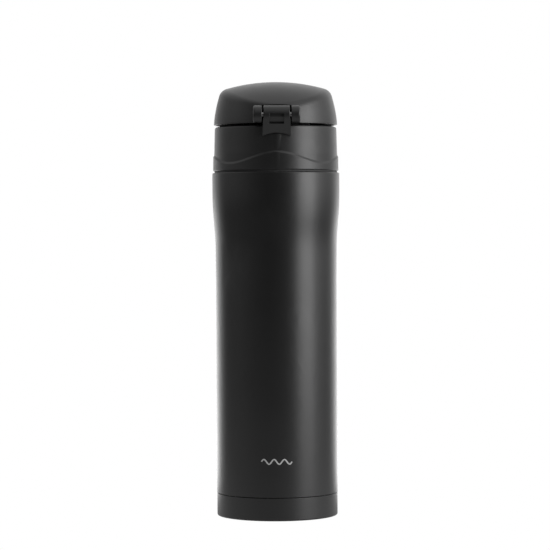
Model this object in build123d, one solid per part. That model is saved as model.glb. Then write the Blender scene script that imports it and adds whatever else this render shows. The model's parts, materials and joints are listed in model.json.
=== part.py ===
"""Slim one-touch vacuum flask with a dome lid on a rear hinge.

Millimetres, +Z up, origin at the centre of the standing face. The hinge is at -Y,
and the push button, its hook and the lock ring are at +Y.
"""

from build123d import *
import math
import os

os.makedirs("parts", exist_ok=True)

# ---- driving dimensions ----
BODY_R = 33.55           # steel body at mid height
BASE_R = 33.43           # base cup
SHOULDER_R = 35.26       # steel body at its widest, under the cap
BODY_TOP = 189.9
SEAM_Z = 12.8            # joint between the body tube and the base cup
STEEL = 0.6              # wall of the drawn steel body
FIT = 0.05               # gap between parts that sit against each other
FOOT_IN = 22.0           # soft ring under the foot
FOOT_OUT = 29.5
FOOT_TOP = 1.45

INNER_R = 28.6           # outside of the inner flask
MOUTH_R = 21.0           # bore of the flask's mouth
RIM_Z = 206.0            # top of the mouth
NECK_R = 23.2            # outside of the neck, at the root of its thread
THREAD_PITCH = 4.0
THREAD_TURNS = 1.5
THREAD_DEPTH = 1.0
THREAD_GAP = 0.25
THREAD_START = BODY_TOP + 4.5

CAP_BOTTOM = 191.0
CAP_TOP = 215.2
CAP_R_LOW = 34.12
CAP_R_HIGH = 33.74
CAP_BORE = 31.4          # inside of the cap's wall
BAND_PROUD = 0.6         # how far the wavy lower band stands out
DECK_Z = 212.6           # top of the cap's inner deck
DECK_THICK = 2.0
BUFFER_X = 20.0          # soft pads that the lid lands on
BUFFER_Y = 24.8
BUFFER_R = 1.2

LID_RIM_Z = 216.2
LID_TOP = 240.5
LID_WALL = 1.8
CROWN_R_LONG = 53.4      # the crown's arch from hinge to button
CROWN_R_ACROSS = 100.0   # and from side to side
CROWN_SHIFT = 4.0        # its highest line, towards the button
CROWN_EDGE = 6.0

HINGE_Y = -34.9
HINGE_Z = 220.5
KNUCKLE_R = 5.0
NOTCH_R = 6.2             # clearance in the lid around the knuckle
KNUCKLE_W = 14.25
HINGE_GAP = 0.9
EAR_W = 4.7
PIN_R = 1.25

HOUSING_W = 27.0         # raised panel around the push button
HOUSING_R = 37.4
BUTTON_W = 15.8
BUTTON_R = 38.0
BUTTON_LOW = 197.8
BUTTON_HIGH = 211.4
BUTTON_PIVOT = (33.0, 200.6)
BUTTON_PIN_R = 1.0
HOOK_Z = 218.4           # underside of the hook's nose
LOCK_PIVOT = (33.4, 206.8)
LOCK_PIN_R = 1.2
LOCK_REACH = 14.0        # pivot to the middle of the ring's crossbar

SPOUT_RIM_Z = 229.0
SPOUT_RIM_R = 15.6


def save(shape, node):
    """Write one node's STEP file."""
    shape.label = node
    export_step(shape, f"parts/{node}.step")


def turned(line_maker):
    """Revolve a closed outline, drawn in the XZ plane, about the Z axis."""
    with BuildPart() as part:
        with BuildSketch(Plane.XZ):
            with BuildLine():
                line_maker()
            make_face()
        revolve(axis=Axis.Z)
    return part.part


def polygon_ring(points):
    """A turned part whose section is a polygon of (radius, height) points."""
    return turned(lambda: Polyline(*points, close=True))


def tube(r_in, r_out, z0, z1):
    """A plain ring."""
    return polygon_ring([(r_in, z0), (r_out, z0), (r_out, z1), (r_in, z1)])


def disc(radius, z0, z1):
    """A plain upright cylinder."""
    return Pos(0, 0, z0) * Cylinder(radius, z1 - z0, align=(Align.CENTER, Align.CENTER, Align.MIN))


def block(x0, x1, y0, y1, z0, z1):
    """A box given by its limits."""
    return Pos((x0 + x1) / 2, (y0 + y1) / 2, (z0 + z1) / 2) * Box(x1 - x0, y1 - y0, z1 - z0)


def rod_x(radius, x0, x1, y, z):
    """A cylinder along X."""
    return Pos((x0 + x1) / 2, y, z) * Rot(0, 90, 0) * Cylinder(radius, x1 - x0)


def extruded_x(points, x0, x1):
    """A closed outline of (y, z) points, extruded along X from x0 to x1."""
    face = make_face(Polyline(*[(x0, y, z) for y, z in points], close=True))
    return extrude(face, amount=x1 - x0, dir=(1, 0, 0))


def helix_ridge(radius, z0, turns, depth, grow, outward):
    """A trapezoid thread ridge that follows a right-hand helix on a wall of the given radius."""
    side = 1 if outward else -1
    root = 1.3 + grow
    crest = 0.6 + grow
    path = Helix(THREAD_PITCH, THREAD_PITCH * turns, radius, center=(0, 0, z0))
    section = Plane(origin=path @ 0, x_dir=(side, 0, 0), z_dir=(0, -side, 0))
    sink = 0.3
    outline = Polyline(
        (-sink, -root), (depth, -crest), (depth, crest), (-sink, root), close=True
    )
    face = section * make_face(outline)
    return sweep(face, path=path, is_frenet=True)


# ---- steel flask ----


def body_outline(offset, z_low, z_high):
    """Points of the body's gentle waist, from z_low up to z_high, moved inward by offset."""
    waist = [
        (BODY_R, 12.9), (BODY_R, 50), (BODY_R, 90), (BODY_R, 130), (33.6, 145), (33.72, 152),
        (34.22, 159.5), (34.78, 166.3), (35.12, 172), (SHOULDER_R, 178),
    ]
    points = [(waist[0][0] - offset, z_low)]
    points += [(r - offset, z) for r, z in waist if z_low + 4 < z < z_high - 4]
    return points + [(SHOULDER_R - offset, z_high)]


def make_outer_shell():
    """Drawn steel body with its waist, a shelf under the cap and a threaded neck."""
    lip = 0.5
    outside = body_outline(0, SEAM_Z + 0.25, BODY_TOP - lip)
    inside = body_outline(STEEL, SEAM_Z + 0.25, BODY_TOP - 2.5)
    neck_in = NECK_R - STEEL

    def outline():
        Spline(*outside)
        ThreePointArc(
            outside[-1],
            (SHOULDER_R - lip * 0.3, BODY_TOP - lip * 0.3),
            (SHOULDER_R - lip, BODY_TOP),
        )
        Polyline(
            (SHOULDER_R - lip, BODY_TOP),
            (NECK_R, BODY_TOP),
            (NECK_R, RIM_Z - 0.6),
            (neck_in, RIM_Z - 0.6),
            (neck_in, BODY_TOP - STEEL),
            (SHOULDER_R - 2.5, BODY_TOP - STEEL),
            inside[-1],
        )
        Spline(*reversed(inside))
        Line(inside[0], outside[0])

    thread = helix_ridge(NECK_R, THREAD_START, THREAD_TURNS, THREAD_DEPTH, 0, True)
    return turned(outline) + thread


def make_inner_flask():
    """Inner steel flask that holds the drink, with its mouth rolled over the neck."""
    top_gap = 0.6
    out_neck = NECK_R - STEEL - 0.5
    wall = 0.45
    shoulder_low = 172.0
    shoulder_high = 185.0
    floor = 9.0
    corner = 10.0

    def outline():
        Polyline((0, floor), (INNER_R - corner, floor))
        RadiusArc((INNER_R - corner, floor), (INNER_R, floor + corner), -corner)
        Line((INNER_R, floor + corner), (INNER_R, shoulder_low))
        Spline(
            (INNER_R, shoulder_low), (out_neck, shoulder_high),
            tangents=((0, 1), (0, 1)),
        )
        Polyline(
            (out_neck, shoulder_high),
            (out_neck, RIM_Z - top_gap + FIT),
            (NECK_R, RIM_Z - top_gap + FIT),
            (NECK_R, RIM_Z),
            (MOUTH_R, RIM_Z),
            (MOUTH_R, shoulder_high),
        )
        Spline(
            (MOUTH_R, shoulder_high), (INNER_R - wall, shoulder_low),
            tangents=((0, -1), (0, -1)),
        )
        Line((INNER_R - wall, shoulder_low), (INNER_R - wall, floor + corner))
        RadiusArc(
            (INNER_R - wall, floor + corner), (INNER_R - corner, floor + wall), corner - wall
        )
        Polyline((INNER_R - corner, floor + wall), (0, floor + wall), (0, floor))

    return turned(outline)


def make_heat_foil():
    """Thin copper foil wrapped around the inner flask inside the vacuum."""
    return tube(INNER_R + 0.1, INNER_R + 0.3, 24, 168)


def make_vacuum_base():
    """Steel plate that closes the vacuum space under the inner flask."""
    ring = polygon_ring([
        (0, 5.2), (8, 5.2), (10, 3.6), (31.0, 3.6), (31.0, 12.4),
        (30.2, 12.4), (30.2, 4.4), (10.4, 4.4), (8.3, 6.0), (0, 6.0),
    ])
    return ring - disc(1.2, 5, 7)


def make_vacuum_plug():
    """Solder plug in the hole through which the air was drawn out."""
    return disc(1.15, 5.3, 6.3) + disc(2.4, 4.6, 5.15) + disc(1.15, 5.1, 5.35)


def make_getter():
    """Getter pellet and its holder, on the vacuum base's inside."""
    return Pos(15, 0, 0) * disc(3.2, 4.45, 6.6)


def make_base_cup():
    """Steel cup pressed over the body's foot, with a rounded edge and a sunken underside."""
    edge = 0.8
    lift = 0.2

    def outline():
        Polyline((0, 1.7), (20.6, 1.7), (21.2, lift), (BASE_R - edge, lift))
        RadiusArc((BASE_R - edge, lift), (BASE_R, lift + edge), -edge)
        Polyline(
            (BASE_R, lift + edge),
            (BASE_R, SEAM_Z - 0.25),
            (BASE_R - 0.3, SEAM_Z),
            (BASE_R - 1.0, SEAM_Z),
            (BASE_R - 1.0, 3.2),
            (20.8, 3.2),
            (20.8, 2.5),
            (0, 2.5),
            (0, 1.7),
        )

    cup = turned(outline)
    return cup - tube(FOOT_IN - FIT, FOOT_OUT + FIT, 0, FOOT_TOP + FIT)


def make_foot_ring():
    """Soft ring let into the underside, so that the flask doesn't slide."""
    ring = tube(FOOT_IN, FOOT_OUT, 0, FOOT_TOP)
    return fillet(ring.edges().group_by(Axis.Z)[0], 0.3)


# ---- cap ----


def band_edge_z(angle):
    """Height of the wavy band's upper edge around the cap: four crests, higher at -Y and +Y."""
    four = math.cos(4 * angle)
    two = math.cos(2 * angle)
    return 197.4 + 2.5 * four - 0.65 * two


def wave_line(radius, slope):
    """The band's edge drawn at a radius; it falls outward at the slope, which bevels the band."""
    count = 48
    middle = CAP_R_LOW + BAND_PROUD / 2
    points = []
    for i in range(count):
        angle = 2 * math.pi * i / count
        height = band_edge_z(angle) + (middle - radius) * slope
        points.append((radius * math.cos(angle), radius * math.sin(angle), height))
    return Edge(Spline(*points, periodic=True).wrapped)


def lower_band():
    """The proud band: a ring cut off along the wave, with a bevelled upper edge."""
    slope = 2.0
    roof = Face.make_surface_from_curves(wave_line(38.0, slope), wave_line(28.0, slope))
    column = extrude(roof, amount=-22, dir=(0, 0, 1))
    out = CAP_R_LOW + BAND_PROUD
    outline = [
        (CAP_R_LOW - 1.2, CAP_BOTTOM), (out - 0.1, CAP_BOTTOM), (out + 0.06, CAP_BOTTOM + 0.25),
        (out - 0.06, 203.0), (CAP_R_LOW - 1.2, 203.0),
    ]
    return polygon_ring(outline) & column


def make_collar_ring():
    """Turned body of the cap collar, before its hinge and button housing are added."""
    edge = 1.2
    rim_in = 31.0
    deck_bore = 20.4

    def outline():
        Polyline(
            (CAP_BORE, CAP_BOTTOM),
            (CAP_R_LOW, CAP_BOTTOM),
            (CAP_R_LOW, 200.0),
            (CAP_R_HIGH, CAP_TOP - edge),
        )
        RadiusArc((CAP_R_HIGH, CAP_TOP - edge), (CAP_R_HIGH - edge, CAP_TOP), -edge)
        Polyline(
            (CAP_R_HIGH - edge, CAP_TOP),
            (rim_in, CAP_TOP),
            (rim_in, DECK_Z),
            (deck_bore, DECK_Z),
            (deck_bore, DECK_Z - DECK_THICK),
            (CAP_BORE, DECK_Z - DECK_THICK),
            (CAP_BORE, CAP_BOTTOM),
        )

    return turned(outline)


def hinge_tab():
    """Centre knuckle with the tab that runs from it down into the cap's wall."""
    half = KNUCKLE_W / 2
    slope = math.radians(30)
    touch_y = HINGE_Y - KNUCKLE_R * math.cos(slope)
    touch_z = HINGE_Z - KNUCKLE_R * math.sin(slope)
    toe_z = 208.6
    toe_y = touch_y + (touch_z - toe_z) * math.tan(slope)
    web = extruded_x(
        [
            (touch_y, touch_z), (toe_y, toe_z), (-31.2, toe_z),
            (-31.2, CAP_TOP + 0.6), (-31.2 - 1.0, HINGE_Z - 3.2), (HINGE_Y, HINGE_Z),
        ],
        -half - 0.6, half + 0.6,
    )
    flare = []
    for x in (-1, 1):
        flare += [(x * half, HINGE_Z + 6), (x * (half + 0.6), toe_z - 1)]
    left_top, left_low, right_top, right_low = flare
    face = make_face(Polyline(
        *[(x, 0, z) for x, z in (left_top, left_low, right_low, right_top)], close=True
    ))
    trim = extrude(face, amount=60, dir=(0, -1, 0))
    barrel = rod_x(KNUCKLE_R, -half, half, HINGE_Y, HINGE_Z)
    barrel = fillet(barrel.edges().filter_by(GeomType.CIRCLE), 0.35)
    arch = Pos(0, -40, toe_z - 15.4) * Rot(90, 0, 0) * Cylinder(17.6, 20)
    return (web & trim) + barrel - arch


def tab_recess():
    """Shallow window in the knuckle and tab, its floor 1.2 mm under the face."""
    half = 7.9 / 2
    floor = [(-38.75, 221.0), (-38.6, 219.2), (-37.95, 217.9), (-36.45, 215.5)]
    return extruded_x(floor + [(-45, 215.5), (-45, 221.0)], -half, half)


def parting_ridge():
    """Low rounded rib down the middle of the cap, under the hinge."""
    radius = 9.0
    proud = 0.1
    low = disc(radius, CAP_BOTTOM + 0.5, 200.3)
    high = disc(radius, 199.5, 210.2)
    low = Pos(0, -(CAP_R_LOW + BAND_PROUD + proud - radius), 0) * low
    high = Pos(0, -(CAP_R_LOW - 0.1 + proud - radius), 0) * high
    return (low + high) & tube(CAP_BORE + 0.5, 40, 190, 212)


def make_cap_collar():
    """Moulded cap collar: wavy band, hinge tab, button housing and inner deck."""
    collar = make_collar_ring() + lower_band() + (hinge_tab() - disc(31.2, 190, 230))
    housing = block(-HOUSING_W / 2, HOUSING_W / 2, 20, 45, 195.2, 213.4)
    housing = fillet(housing.edges().filter_by(Axis.Y), 3.5)
    collar += housing & tube(31.6, HOUSING_R, 190, 214)
    window = block(-BUTTON_W / 2 - 0.25, BUTTON_W / 2 + 0.25, 28.3, 45, BUTTON_LOW - 0.3, 212.2)
    window = fillet(window.edges().filter_by(Axis.Y), 2.5)
    hook_slot = block(-5.3, 5.3, 25.2, 31.8, DECK_Z - 6, CAP_TOP + 1)
    spring_room = rod_x(2.6, -5.2, 5.2, HINGE_Y, HINGE_Z)
    bore = rod_x(PIN_R + 0.02, -20, 20, HINGE_Y, HINGE_Z)
    collar = collar - window - hook_slot - tab_recess() - spring_room - bore
    collar -= rod_x(BUTTON_PIN_R + 0.02, -11.0, 11.0, *BUTTON_PIVOT)
    for x in (-16, 9.5):
        collar -= rod_x(LOCK_PIN_R + 0.07, x, x + 6.5, *LOCK_PIVOT)
    for x in (-BUFFER_X, BUFFER_X):
        collar -= Pos(x, BUFFER_Y, 0) * disc(BUFFER_R + FIT, CAP_TOP - 0.6, CAP_TOP + 1)
    return collar + parting_ridge()


def make_thread_ring():
    """Inner ring of the cap, with the thread that holds the cap on the neck."""
    bore = NECK_R + THREAD_DEPTH + THREAD_GAP
    ring = polygon_ring([
        (bore, BODY_TOP + 0.15), (27.2, BODY_TOP + 0.15), (27.2, 205.0), (31.3, 205.0),
        (31.3, 207.0), (27.2, 207.0), (27.2, 210.5), (20.7, 210.5), (20.7, 208.4), (bore, 208.4),
    ])
    start = THREAD_START + THREAD_PITCH / 2
    ridge = helix_ridge(bore, start, THREAD_TURNS, THREAD_DEPTH, -0.15, False)
    return ring + ridge - block(-9.5, 9.5, 27.3, 40, 200, 209)


def make_seat_ring():
    """Black ring that fills the joint between the cap and the body."""
    return tube(27.3, 34.0, BODY_TOP + 0.06, CAP_BOTTOM - 0.05)


def make_mouth_gasket():
    """Ring between the flask's rim and the spout's flange."""
    return tube(20.9, 23.3, RIM_Z + 0.04, 207.2)


def make_drinking_spout():
    """Spout with its flange, plug and the dam that slows the drink."""
    outline = [
        (17.6, 195.0), (19.6, 195.0), (19.6, 198.0), (19.2, 198.0), (19.2, 200.2), (19.6, 200.2),
        (19.6, 207.25), (23.6, 207.25), (23.6, 208.35), (20.0, 208.35), (20.0, 213.0),
        (17.4, 222.5), (16.4, 227.2), (SPOUT_RIM_R, SPOUT_RIM_Z - 0.5), (15.2, SPOUT_RIM_Z),
        (14.4, SPOUT_RIM_Z), (14.0, SPOUT_RIM_Z - 0.6), (14.8, 224.5), (15.0, 223.4),
        (0, 220.8), (0, 219.2), (15.6, 221.6), (18.0, 212.0),
    ]
    spout = polygon_ring(outline)
    drink_hole = Pos(0, 9.2, 215) * extrude(SlotOverall(13, 5), amount=20)
    air_hole = Pos(0, -11.0, 0) * disc(1.2, 215, 230)
    return spout - drink_hole - air_hole


def make_plug_ring():
    """O-ring on the spout's plug."""
    section = Pos(20.05, 0, 199.1) * Rot(90, 0, 0) * Circle(0.8)
    return revolve(section, Axis.Z)


def make_hinge_pin():
    """Steel pin through the knuckle and both ears."""
    half = KNUCKLE_W / 2 + HINGE_GAP + EAR_W - 0.5
    return rod_x(PIN_R, -half, half, HINGE_Y, HINGE_Z)


def coil(radius, wire, pitch, length):
    """A coil spring around Z, standing on the origin."""
    path = Helix(pitch, length, radius)
    return sweep(Plane(origin=path @ 0, z_dir=path % 0) * Circle(wire), path=path, is_frenet=True)


def make_hinge_spring():
    """Spring around the hinge pin that throws the lid open."""
    length = 9.0
    return Pos(-length / 2, HINGE_Y, HINGE_Z) * Rot(0, 90, 0) * coil(1.95, 0.35, 1.2, length)


def make_rim_buffers():
    """Two soft pads on the cap's rim that the lid lands on."""
    pad = disc(BUFFER_R, CAP_TOP - 0.55, LID_RIM_Z - 0.08)
    return Compound(children=[Pos(x, BUFFER_Y, 0) * pad for x in (-BUFFER_X, BUFFER_X)])


def make_button_pin():
    """Pin that the push button rocks on."""
    return rod_x(BUTTON_PIN_R, -10.9, 10.9, *BUTTON_PIVOT)


def make_lock_pivots():
    """Two stub pins that the lock ring swings on."""
    y, z = LOCK_PIVOT
    near = 9.8
    far = 16.2
    return Compound(children=[
        rod_x(LOCK_PIN_R, near, far, y, z),
        rod_x(LOCK_PIN_R, -far, -near, y, z),
    ])


# ---- push button and lock ring ----


def make_latch_button():
    """Push button with the arm and hook that hold the lid shut."""
    y, z = BUTTON_PIVOT
    half = BUTTON_W / 2
    face = block(-half, half, 30.0, 45, BUTTON_LOW, BUTTON_HIGH)
    face = fillet(face.edges().filter_by(Axis.Y), 2.3)
    button = face & (tube(34.0, BUTTON_R, 190, 214) + tube(31.4, 35.0, 190, 203.4))
    dish = Pos(0, BUTTON_R + 15.2, 206.4) * Sphere(16.2)
    button -= dish
    arm = extruded_x(
        [
            (34.4, 199.0), (34.4, 208.0), (30.6, 210.4), (30.6, HOOK_Z), (31.6, HOOK_Z),
            (31.6, HOOK_Z + 0.7), (30.2, HOOK_Z + 2.2), (28.6, HOOK_Z + 2.2), (28.6, 208.6),
            (30.0, 206.6), (30.0, 199.0),
        ],
        -4.6, 4.6,
    )
    button += arm
    return button - rod_x(BUTTON_PIN_R + 0.05, -20, 20, y, z)


def make_button_spring():
    """Coil spring behind the button."""
    spring = Rot(90, 0, 0) * coil(1.5, 0.25, 0.8, 1.2)
    return Pos(0, 29.75, 204.0) * spring


def make_lock_ring():
    """U-shaped ring around the button that swings up over the lid's nub."""
    y, z = LOCK_PIVOT
    inner = HOUSING_W / 2 + 0.3
    outer = inner + 2.5
    low = z - LOCK_REACH - 1.3
    frame = block(-outer, outer, 25, 45, low, z - 1)
    frame -= block(-inner, inner, 20, 50, low + 2.6, z + 10)
    frame = fillet(frame.edges().filter_by(Axis.Y).group_by(Axis.Z)[0], 2.4)
    frame = frame & tube(35.0, 38.2, 180, 214)
    arms = rod_x(2.2, -outer, outer, y, z) + block(-outer, outer, y - 1.3, y + 1.7, z - 5, z)
    arms -= block(-inner, inner, 20, 50, z - 10, z + 10)
    lip = block(-5.5, 5.5, 37.0, 39.9, low + 0.3, low + 2.3)
    lip = fillet(lip.edges().filter_by(Axis.Z).group_by(Axis.Y)[-1], 2.0)
    ring = frame + arms + lip
    return ring - rod_x(LOCK_PIN_R + FIT, -20, 20, y, z)


# ---- lid ----


def lid_wall(offset, rim_z):
    """Solid inside the lid's tapering side wall, moved inward by offset, from rim_z up past the crown."""
    side = [
        (34.16, LID_RIM_Z + 0.8), (34.0, 219.1), (33.16, 224.6), (31.95, 229.9), (30.2, 236.0),
        (28.2, LID_TOP + 2),
    ]
    line = [(r - offset, z) for r, z in side if z > rim_z + 0.5]

    def outline():
        Line((line[0][0], rim_z), line[0])
        Spline(*line)
        Polyline(line[-1], (0, line[-1][1]), (0, rim_z), (line[0][0], rim_z))

    return turned(outline)


def lid_crown(offset):
    """Barrel whose upper side is the lid's crown: it arches across and falls away to the hinge."""
    half = 36.0
    axis_z = LID_TOP - CROWN_R_LONG
    radius = CROWN_R_ACROSS - offset
    top = CROWN_R_LONG - offset
    end = top - radius + math.sqrt(radius**2 - half**2)
    with BuildPart() as barrel:
        with BuildSketch(Plane(origin=(0, CROWN_SHIFT, axis_z), x_dir=(1, 0, 0), z_dir=(0, 1, 0))):
            with BuildLine():
                ThreePointArc((-half, end), (0, top), (half, end))
                Polyline((half, end), (half, 0), (-half, 0), (-half, end))
            make_face()
        revolve(axis=Axis((0, CROWN_SHIFT, axis_z), (1, 0, 0)))
    return barrel.part


def dome(offset, rim_z, edge):
    """The solid under the lid's outside moved inward by offset; edge is the crown's edge radius."""
    solid = lid_wall(offset, rim_z) & lid_crown(offset)
    crown_edge = solid.edges().filter_by(lambda e: e.bounding_box().min.Z > HINGE_Z)
    return fillet(crown_edge, edge)


def lid_ears():
    """Both hinge ears, which grow out of the lid's wall."""
    inner = KNUCKLE_W / 2 + HINGE_GAP
    ears = []
    for side in (-1, 1):
        x0, x1 = sorted((side * inner, side * (inner + EAR_W)))
        barrel = rod_x(KNUCKLE_R, x0, x1, HINGE_Y, HINGE_Z)
        root = block(x0, x1, HINGE_Y, HINGE_Y + 4.6, LID_RIM_Z, HINGE_Z + KNUCKLE_R)
        ear = (barrel + root) & block(x0, x1, -45, -20, LID_RIM_Z, 240)
        for end, radius in ((side * inner, 0.3), (side * (inner + EAR_W), 0.9)):
            rim = ear.edges().filter_by_position(Axis.X, end - 0.01, end + 0.01)
            rim = rim.filter_by_position(Axis.Z, LID_RIM_Z + 0.1, HINGE_Z + KNUCKLE_R + 0.1)
            rim = rim.filter_by_position(Axis.Y, HINGE_Y - KNUCKLE_R - 0.1, HINGE_Y + 4.5)
            ear = fillet(rim, radius)
        ears.append(ear)
    return ears


def make_lid_shell():
    """Dome lid with its hinge ears, the notch for the knuckle and the front nub."""
    hollow = dome(LID_WALL, LID_RIM_Z - 1, CROWN_EDGE - LID_WALL)
    lid = dome(0, LID_RIM_Z, CROWN_EDGE) - hollow
    inner = KNUCKLE_W / 2 + HINGE_GAP
    notch = rod_x(NOTCH_R, -inner, inner, HINGE_Y, HINGE_Z)
    notch += block(-inner, inner, -45, HINGE_Y + NOTCH_R, LID_RIM_Z - 1, HINGE_Z)
    for ear in lid_ears():
        lid += ear - hollow
    lid -= notch
    nub = extruded_x(
        [(31.9, 216.5), (36.2, 216.9), (37.0, 217.6), (36.8, 218.4), (31.9, 219.3)], -5.0, 5.0
    )
    lid += nub - hollow
    return lid - rod_x(PIN_R + 0.05, -20, 20, HINGE_Y, HINGE_Z)


def make_lid_liner():
    """Inner dome of the lid, with the boss that holds the gasket."""
    outside = dome(LID_WALL + 0.2, LID_RIM_Z + 1.2, CROWN_EDGE - LID_WALL)
    liner = outside - dome(LID_WALL + 1.4, LID_RIM_Z, CROWN_EDGE - LID_WALL - 2.5)
    liner += tube(9.5, 11.5, 231.0, LID_TOP) & outside
    inner = KNUCKLE_W / 2 + HINGE_GAP + EAR_W + 0.6
    liner -= rod_x(NOTCH_R + 0.1, -inner, inner, HINGE_Y, HINGE_Z)
    liner -= block(-5.2, 5.2, 28, 36, LID_RIM_Z, HOOK_Z + 3.0)
    return liner


def make_lid_gasket():
    """Soft seal that closes on the spout's rim."""
    return polygon_ring([
        (11.6, 231.4), (16.6, 231.4), (17.2, 230.9), (17.2, 227.6), (16.75, 227.6), (16.55, 229.05),
        (12.0, 229.05), (12.0, 229.8), (5.0, 229.8), (5.0, 230.6), (11.6, 230.6),
    ])


def make_gasket_retainer():
    """Clip inside the boss that holds the gasket."""
    return polygon_ring([
        (0, 228.6), (8.5, 228.6), (10.5, 229.2), (10.5, 229.75), (4.9, 229.75), (4.9, 230.95),
        (9.3, 230.95), (9.3, 233.5), (8.3, 233.5), (8.3, 231.8), (0, 231.8),
    ])


def make_lid_catch():
    """Ledge inside the lid's front wall that the hook holds."""
    ledge = block(-4.4, 4.4, 30.9, 33, 216.9, 218.3)
    return ledge & tube(20, 32.05, 210, 230)


NODES = {
    "outer_shell": make_outer_shell,
    "inner_flask": make_inner_flask,
    "heat_foil": make_heat_foil,
    "vacuum_base": make_vacuum_base,
    "vacuum_plug": make_vacuum_plug,
    "getter": make_getter,
    "base_cup": make_base_cup,
    "foot_ring": make_foot_ring,
    "cap_collar": make_cap_collar,
    "thread_ring": make_thread_ring,
    "seat_ring": make_seat_ring,
    "mouth_gasket": make_mouth_gasket,
    "drinking_spout": make_drinking_spout,
    "plug_ring": make_plug_ring,
    "hinge_pin": make_hinge_pin,
    "hinge_spring": make_hinge_spring,
    "rim_buffers": make_rim_buffers,
    "button_pin": make_button_pin,
    "lock_pivots": make_lock_pivots,
    "latch_button": make_latch_button,
    "button_spring": make_button_spring,
    "lock_ring": make_lock_ring,
    "lid_shell": make_lid_shell,
    "lid_liner": make_lid_liner,
    "lid_gasket": make_lid_gasket,
    "gasket_retainer": make_gasket_retainer,
    "lid_catch": make_lid_catch,
}

for name, make in NODES.items():
    save(make(), name)
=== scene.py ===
"""Looks for the slim black vacuum flask: materials, light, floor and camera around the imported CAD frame.

Metres, +Z up, origin at the centre of the standing face. The hinge is at -Y and the button at +Y.
"""

import json
import math

import bmesh
import bpy
from mathutils import Matrix, Vector


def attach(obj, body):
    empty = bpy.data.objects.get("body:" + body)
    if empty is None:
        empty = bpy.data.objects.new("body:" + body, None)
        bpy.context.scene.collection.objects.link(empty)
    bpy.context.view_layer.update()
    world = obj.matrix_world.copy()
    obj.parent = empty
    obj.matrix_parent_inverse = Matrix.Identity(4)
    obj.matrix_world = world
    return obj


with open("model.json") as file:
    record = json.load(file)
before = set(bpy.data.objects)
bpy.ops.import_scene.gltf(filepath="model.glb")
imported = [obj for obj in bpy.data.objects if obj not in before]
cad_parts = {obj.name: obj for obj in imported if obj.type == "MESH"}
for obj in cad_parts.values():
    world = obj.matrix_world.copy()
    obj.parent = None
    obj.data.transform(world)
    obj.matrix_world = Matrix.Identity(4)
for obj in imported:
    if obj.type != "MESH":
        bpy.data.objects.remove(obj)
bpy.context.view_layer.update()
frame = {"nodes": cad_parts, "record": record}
nodes = frame["nodes"]

# ---- camera ----
CAMERA_DISTANCE = 1.273
CAMERA_HEIGHT = 0.1553
CAMERA_AZIMUTH = math.radians(-1.0)
CAMERA_ROLL = math.radians(-0.3)
CAMERA_LENS = 150.0
CAMERA_AIM = Vector((-0.00073, 0, 0.1333))

# ---- light ----
SOFTBOX_AZIMUTH = math.radians(56)  # from -Y towards +X
SOFTBOX_DISTANCE = 0.9
SOFTBOX_HEIGHT = 0.33
SOFTBOX_WIDTH = 0.53
SOFTBOX_TALL = 0.66
SOFTBOX_POWER = 6.1
SOFTBOX_AIM = Vector((0, 0, 0.12))
# Brightness of the studio's walls by azimuth in degrees, 0 behind the camera and 90 at +X.
WALLS = (
    (-180, 1.4), (-150, 0.8), (-120, 0.44), (-80, 0.8), (-60, 0.6), (-40, 0.32), (-15, 0.06),
    (38, 0.03), (58, 1.0), (78, 2.6), (104, 1.2), (122, 0.75), (145, 1.4), (180, 1.4),
)
# Brightness of the ceiling in front of the flask at -X and at +X, and behind the flask.
CEILING_LEFT = 0.22
CEILING_RIGHT = 1.5
CEILING_BACK = 0.95
# Where one part of the room gives way to the next, along a direction of length 1 from the flask.
LEFT_TO_RIGHT = (-0.3, 0.4)
FRONT_TO_BACK = (-0.35, 0.15)
WALL_TO_CEILING = (0.32, 0.85)
FLOOR_SIZE = 30.0
FLOOR_GLOW = 0.6         # close to the flask
FLOOR_REACH = 1.1        # distance at which that glow has faded
FLOOR_BACK = 3.4         # extra glow of the floor behind the flask
FLOOR_BACK_RISE = (0.03, 0.25)     # distances over which the extra glow comes in
FLOOR_BACK_SECTOR = (0.45, 0.95)   # and directions, as the share of +Y

# ---- printed mark ----
BODY_R = 0.03355         # the CAD body's radius near the foot
MARK_Z = 0.0326
MARK_OFFSET = -0.0009    # along X
MARK_WIDTH = 0.0168
MARK_HEIGHT = 0.0033
MARK_STROKE = 0.00075
MARK_WAVES = 3
MARK_STEPS = 32          # to a wave
MARK_THICK = 0.00003

# ---- surfaces ----
EDGE_SOFTNESS = 0.00022  # radius of the soft highlight along the parts' edges
COAT_IOR = 1.5           # of plastics, rubber and the sprayed coat


# ---- materials ----


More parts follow.
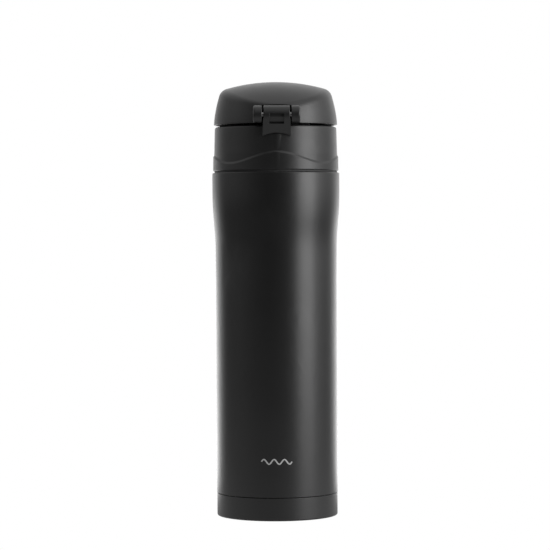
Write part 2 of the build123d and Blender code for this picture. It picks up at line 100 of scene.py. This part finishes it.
class Tree:
    """A short way to write a node tree."""

    def __init__(self, owner):
        owner.use_nodes = True
        self.tree = owner.node_tree

    def add(self, kind, **settings):
        node = self.tree.nodes.new(kind)
        for key, value in settings.items():
            setattr(node, key, value)
        return node

    def link(self, source, target):
        self.tree.links.new(source, target)

    def give(self, socket, value):
        """Give an input a number, a tuple or another node's output."""
        if isinstance(value, (int, float, tuple)):
            socket.default_value = value
        else:
            self.link(value, socket)

    def feed(self, node, **values):
        """Give a node's inputs their values; underscores in a name stand for spaces."""
        for name, value in values.items():
            self.give(node.inputs[name.replace("_", " ")], value)

    def span(self, value, low, high, start, end, curve="SMOOTHSTEP"):
        """Map low..high to start..end, and hold the ends beyond it."""
        made = self.add("ShaderNodeMapRange", interpolation_type=curve)
        self.feed(made, Value=value, From_Min=low, From_Max=high, To_Min=start, To_Max=end)
        return made.outputs["Result"]

    def math(self, operation, *values):
        """The operation's result on its values."""
        made = self.add("ShaderNodeMath", operation=operation)
        for socket, value in zip(made.inputs, values):
            self.give(socket, value)
        return made.outputs["Value"]

    def mix(self, share, low, high):
        """Low where the share is 0 and high where it is 1."""
        made = self.add("ShaderNodeMix", data_type="FLOAT")
        self.feed(made, Factor=share, A=low, B=high)
        return made.outputs["Result"]

    def for_camera(self, seen, lit):
        """What the camera sees directly, and what lights and reflects in everything else."""
        path = self.add("ShaderNodeLightPath")
        return self.mix(path.outputs["Is Camera Ray"], lit, seen)


class Nodes(Tree):
    """A material's node tree."""

    def __init__(self, name):
        self.material = bpy.data.materials.new(name)
        super().__init__(self.material)
        self.shader = self.tree.nodes["Principled BSDF"]
        self.place = self.add("ShaderNodeTexCoord").outputs["Object"]

    def noise(self, scale, detail, stretch=(1, 1, 1)):
        """Noise from 0 to 1, scale times to a metre; a stretch over 1 makes it finer along that axis."""
        mapping = self.add("ShaderNodeMapping")
        self.feed(mapping, Scale=stretch, Vector=self.place)
        noise = self.add("ShaderNodeTexNoise")
        self.feed(noise, Scale=scale, Detail=detail, Vector=mapping.outputs["Vector"])
        return noise.outputs["Fac"]

    def colour(self, value, dark, light):
        """Base colour that wanders between two shades."""
        ramp = self.add("ShaderNodeValToRGB")
        for stop, position, shade in zip(ramp.color_ramp.elements, (0.3, 0.7), (dark, light)):
            stop.position = position
            stop.color = (*shade, 1)
        self.link(value, ramp.inputs["Fac"])
        self.set(Base_Color=ramp.outputs["Color"])

    def rough(self, value, middle, vary):
        """Roughness that wanders around its middle."""
        self.set(Roughness=self.span(value, 0.0, 1.0, middle - vary, middle + vary, "LINEAR"))

    def bump(self, value, height):
        """Bump over a normal that is rounded at sharp edges."""
        edge = self.add("ShaderNodeBevel", samples=6)
        self.feed(edge, Radius=EDGE_SOFTNESS)
        bump = self.add("ShaderNodeBump")
        self.feed(bump, Strength=1.0, Distance=height, Height=value, Normal=edge.outputs["Normal"])
        self.set(Normal=bump.outputs["Normal"])

    def set(self, **values):
        """Set inputs of the surface's shader."""
        self.feed(self.shader, **values)


def moulded(name, dark, light, rough, grain=4000, height=0.00001):
    """Moulded plastic or rubber: mottled colour, uneven gloss and a fine spark-eroded grain."""
    m = Nodes(name)
    m.colour(m.noise(60, 4), dark, light)
    m.rough(m.noise(150, 5), rough, 0.04)
    m.bump(m.noise(grain, 3), height)
    m.set(IOR=COAT_IOR)
    return m.material


def brushed(name, dark, light, rough, stretch=(1, 1, 60)):
    """Metal with fine lines left by polishing."""
    m = Nodes(name)
    m.set(Metallic=1.0)
    lines = m.noise(300, 3, stretch)
    m.colour(lines, dark, light)
    m.rough(lines, rough, 0.08)
    m.bump(lines, 0.000004)
    return m.material


def coated(name, dark, light, rough):
    """Satin black coating on steel, with the slight pebble that a sprayed coat has."""
    m = Nodes(name)
    m.colour(m.noise(40, 5), dark, light)
    m.rough(m.noise(90, 6), rough, 0.02)
    m.bump(m.noise(2600, 2), 0.000006)
    m.set(IOR=COAT_IOR)
    return m.material


looks = {
    "body_paint": coated("satin_black_coat", (0.0045, 0.0045, 0.0046), (0.0065, 0.0065, 0.0067), 0.36),
    "cap_plastic": moulded("matt_black_plastic", (0.0055, 0.0055, 0.0056), (0.0075, 0.0075, 0.0077), 0.40),
    "button_plastic": moulded("dark_grey_plastic", (0.022, 0.022, 0.024), (0.028, 0.028, 0.03), 0.38),
    "inner_plastic": moulded("inner_grey_plastic", (0.035, 0.035, 0.036), (0.045, 0.045, 0.046), 0.42),
    "steel": brushed("polished_steel", (0.5, 0.49, 0.48), (0.66, 0.65, 0.63), 0.28),
    "copper": brushed("copper_foil", (0.62, 0.30, 0.18), (0.78, 0.42, 0.28), 0.25),
    "solder": brushed("dull_solder", (0.42, 0.42, 0.42), (0.55, 0.55, 0.56), 0.5, (1, 1, 1)),
    "getter": moulded("sintered_getter", (0.10, 0.10, 0.10), (0.2, 0.2, 0.2), 0.7, 2000, 0.00005),
    "black_rubber": moulded("black_rubber", (0.012, 0.012, 0.012), (0.02, 0.02, 0.02), 0.62, 3000),
    "silicone": moulded("pale_silicone", (0.62, 0.62, 0.6), (0.72, 0.72, 0.7), 0.45, 3000),
    "pin_steel": brushed("ground_pin_steel", (0.28, 0.28, 0.28), (0.4, 0.4, 0.4), 0.3, (60, 1, 1)),
    "spring_steel": brushed("spring_wire", (0.35, 0.35, 0.36), (0.5, 0.5, 0.52), 0.3, (60, 1, 1)),
}

for subpart in frame["record"]["subparts"]:
    node = nodes[subpart["node"]]
    node.data.materials.clear()
    node.data.materials.append(looks[subpart["material_slot"]])


# ---- printed mark ----


def make_mark():
    """Pale wave printed near the foot: a thin closed ribbon that lies on the body at -Y."""
    steps = MARK_STEPS * MARK_WAVES
    swing = (MARK_HEIGHT - MARK_STROKE) / 2
    mesh = bmesh.new()
    rings = []
    for i in range(steps + 1):
        along = i / steps
        phase = math.tau * MARK_WAVES * along
        across = (along - 0.5) * MARK_WIDTH + MARK_OFFSET
        lean = math.atan(swing * math.cos(phase) * math.tau * MARK_WAVES / MARK_WIDTH)
        ring = []
        for side, depth in ((-1, -1), (1, -1), (1, 1), (-1, 1)):
            x = across - side * math.sin(lean) * MARK_STROKE / 2
            z = MARK_Z + swing * math.sin(phase) + side * math.cos(lean) * MARK_STROKE / 2
            radius = BODY_R + depth * MARK_THICK
            angle = x / BODY_R
            place = (radius * math.sin(angle), -radius * math.cos(angle), z)
            ring.append(mesh.verts.new(place))
        rings.append(ring)
    for near, far in zip(rings, rings[1:]):
        for i in range(4):
            j = (i + 1) % 4
            mesh.faces.new((near[i], far[i], far[j], near[j]))
    mesh.faces.new(rings[0])
    mesh.faces.new(reversed(rings[-1]))
    bmesh.ops.recalc_face_normals(mesh, faces=mesh.faces)
    data = bpy.data.meshes.new("printed_mark")
    mesh.to_mesh(data)
    mesh.free()
    mark = bpy.data.objects.new("printed_mark", data)
    bpy.context.scene.collection.objects.link(mark)
    ink = moulded("pale_print", (0.34, 0.34, 0.34), (0.42, 0.42, 0.42), 0.5, 5000, 0.000002)
    data.materials.append(ink)
    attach(mark, "bottle")


# ---- stage ----


def make_floor():
    """Pale floor that runs out of sight. It is white to the camera and lights the flask from near by."""
    bpy.ops.mesh.primitive_plane_add(size=FLOOR_SIZE, location=(0, 0, 0))
    floor = bpy.context.object
    floor.name = "floor"
    m = Nodes("pale_floor")
    m.set(Roughness=0.9, Base_Color=(0, 0, 0, 1), Specular_IOR_Level=0.0, Emission_Color=(1, 1, 1, 1))
    distance = m.add("ShaderNodeVectorMath", operation="LENGTH")
    m.link(m.place, distance.inputs[0])
    near = m.span(distance.outputs["Value"], 0.0, FLOOR_REACH, FLOOR_GLOW, 0.0)
    start = m.span(distance.outputs["Value"], *FLOOR_BACK_RISE, 0.0, FLOOR_BACK)
    away = m.add("ShaderNodeVectorMath", operation="NORMALIZE")
    m.link(m.place, away.inputs[0])
    split = m.add("ShaderNodeSeparateXYZ")
    m.link(away.outputs["Vector"], split.inputs["Vector"])
    behind = m.span(split.outputs["Y"], *FLOOR_BACK_SECTOR, 0.0, 1.0)
    glow = m.math("MULTIPLY_ADD", start, behind, near)
    m.set(Emission_Strength=m.for_camera(1.0, glow))
    floor.data.materials.append(m.material)


def make_softbox():
    """Soft light to the right of the camera."""
    light = bpy.data.lights.new("softbox", "AREA")
    light.shape = "RECTANGLE"
    light.size = SOFTBOX_WIDTH
    light.size_y = SOFTBOX_TALL
    light.energy = SOFTBOX_POWER
    box = bpy.data.objects.new("softbox", light)
    x = math.sin(SOFTBOX_AZIMUTH) * SOFTBOX_DISTANCE
    y = -math.cos(SOFTBOX_AZIMUTH) * SOFTBOX_DISTANCE
    box.location = (x, y, SOFTBOX_HEIGHT)
    towards = SOFTBOX_AIM - box.location
    box.rotation_euler = towards.to_track_quat("-Z", "Y").to_euler()
    bpy.context.scene.collection.objects.link(box)


def make_world():
    """Studio walls and ceiling, seen only in the flask's gloss; the camera sees plain white."""
    world = bpy.data.worlds.new("studio")
    bpy.context.scene.world = world
    w = Tree(world)
    split = w.add("ShaderNodeSeparateXYZ")
    w.link(w.add("ShaderNodeTexCoord").outputs["Generated"], split.inputs["Vector"])
    x, y, z = split.outputs
    azimuth = w.math("ARCTAN2", x, w.math("MULTIPLY", y, -1.0))
    ramp = w.add("ShaderNodeValToRGB")
    w.link(w.math("MULTIPLY_ADD", azimuth, 1 / math.tau, 0.5), ramp.inputs["Fac"])
    brightest = max(value for _, value in WALLS)
    stops = ramp.color_ramp.elements
    while len(stops) < len(WALLS):
        stops.new(0.5)
    for stop, (degrees, value) in zip(stops, WALLS):
        stop.position = degrees / 360 + 0.5
        grey = value / brightest
        stop.color = (grey, grey, grey, 1)
    walls = w.math("MULTIPLY", ramp.outputs["Color"], brightest)
    front = w.span(x, *LEFT_TO_RIGHT, CEILING_LEFT, CEILING_RIGHT)
    ceiling = w.mix(w.span(y, *FRONT_TO_BACK, 0.0, 1.0), front, CEILING_BACK)
    room = w.mix(w.span(z, *WALL_TO_CEILING, 0.0, 1.0), walls, ceiling)
    background = w.tree.nodes["Background"]
    w.feed(background, Color=(1, 1, 1, 1), Strength=w.for_camera(1.0, room))


def make_camera():
    """The camera at the photograph's angle."""
    data = bpy.data.cameras.new("camera")
    data.lens = CAMERA_LENS
    data.sensor_width = 36.0
    camera = bpy.data.objects.new("camera", data)
    eye = Vector((
        math.sin(CAMERA_AZIMUTH) * CAMERA_DISTANCE,
        -math.cos(CAMERA_AZIMUTH) * CAMERA_DISTANCE,
        CAMERA_HEIGHT,
    ))
    turn = (CAMERA_AIM - eye).to_track_quat("-Z", "Y").to_matrix().to_4x4()
    camera.matrix_world = Matrix.Translation(eye) @ turn @ Matrix.Rotation(CAMERA_ROLL, 4, "Z")
    bpy.context.scene.collection.objects.link(camera)
    bpy.context.scene.camera = camera


make_mark()
make_floor()
make_softbox()
make_world()
make_camera()
bpy.context.scene.view_settings.view_transform = "Standard"
bpy.context.scene.view_settings.look = "None"
